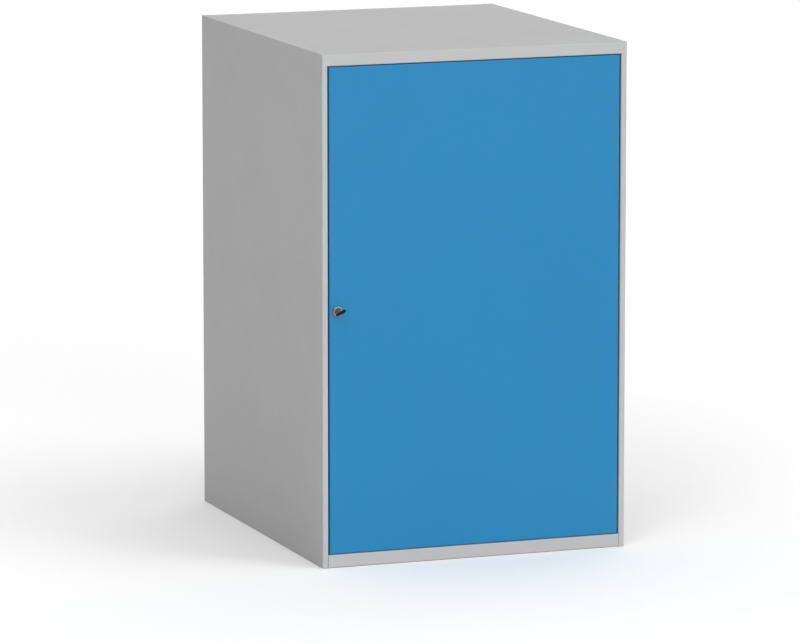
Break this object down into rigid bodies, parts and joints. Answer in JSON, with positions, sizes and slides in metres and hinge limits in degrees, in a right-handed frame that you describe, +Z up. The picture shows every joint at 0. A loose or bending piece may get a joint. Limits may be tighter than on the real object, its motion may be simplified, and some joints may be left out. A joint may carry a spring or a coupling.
{
  "type": "single-door steel workshop cabinet",
  "caption": "Floor-standing sheet-steel workshop cabinet with one flush lockable hinged door, a key in the cam lock, and adjustable shelves on slotted rails inside.",
  "frame": {"origin": "on the floor, under the middle of the carcass (the bottom face of the floor stiffener)", "axes": "+Z up, +X to the right seen from the front, -Y out of the front (the door faces -Y)"},
  "size_m": [0.51, 0.6102, 0.81],
  "materials": {
    "body_grey": "light grey powder coat, fine texture, satin",
    "door_blue": "light blue powder coat, fine texture, satin",
    "zinc_steel": "zinc plated",
    "nickel": "nickel plated, polished",
    "rubber": "matt",
    "bush_plastic": "black plastic",
    "key_metal": "nickel plated",
    "key_plastic": "black, satin"
  },
  "bodies": {
    "cabinet": {"left_side_panel": "body_grey", "right_side_panel": "body_grey", "top_panel": "body_grey", "bottom_panel": "body_grey", "floor_stiffener": "body_grey", "back_panel": "body_grey", "back_panel_rivets": "zinc_steel", "shelf_rail_left_front": "body_grey", "shelf_rail_left_rear": "body_grey", "shelf_rail_right_front": "body_grey", "shelf_rail_right_rear": "body_grey", "upper_shelf": "body_grey", "lower_shelf": "body_grey", "upper_shelf_clips": "zinc_steel", "lower_shelf_clips": "zinc_steel", "upper_hinge_plate": "zinc_steel", "lower_hinge_plate": "zinc_steel", "upper_hinge_pin": "zinc_steel", "lower_hinge_pin": "zinc_steel", "hinge_plate_screws": "zinc_steel", "lower_stop_bracket": "body_grey", "door_buffers": "rubber"},
    "door": {"door_skin": "door_blue", "door_stiffener": "door_blue", "upper_door_hinge_plate": "door_blue", "lower_door_hinge_plate": "door_blue", "upper_hinge_bush": "bush_plastic", "lower_hinge_bush": "bush_plastic", "lock_housing": "nickel", "lock_nut": "zinc_steel"},
    "lock_cylinder": {"lock_plug": "nickel", "lock_cam": "zinc_steel", "lock_cam_screw": "zinc_steel"},
    "key": {"key_blade": "key_metal", "key_bow": "key_plastic"}
  },
  "joints": [
    {"name": "door_hinge", "type": "hinge", "parent": "cabinet", "child": "door", "pos_m": [0.232, -0.288, 0.406], "axis": [0, 0, 1], "range_deg": [0, 110]},
    {"name": "lock_turn", "type": "hinge", "parent": "door", "child": "lock_cylinder", "pos_m": [-0.2295, -0.295, 0.407], "axis": [0, -1, 0], "range_deg": [-25, 65]},
    {"name": "key_pull", "type": "slide", "parent": "lock_cylinder", "child": "key", "axis": [0, -1, 0], "range_m": [0, 0.03]}
  ]
}
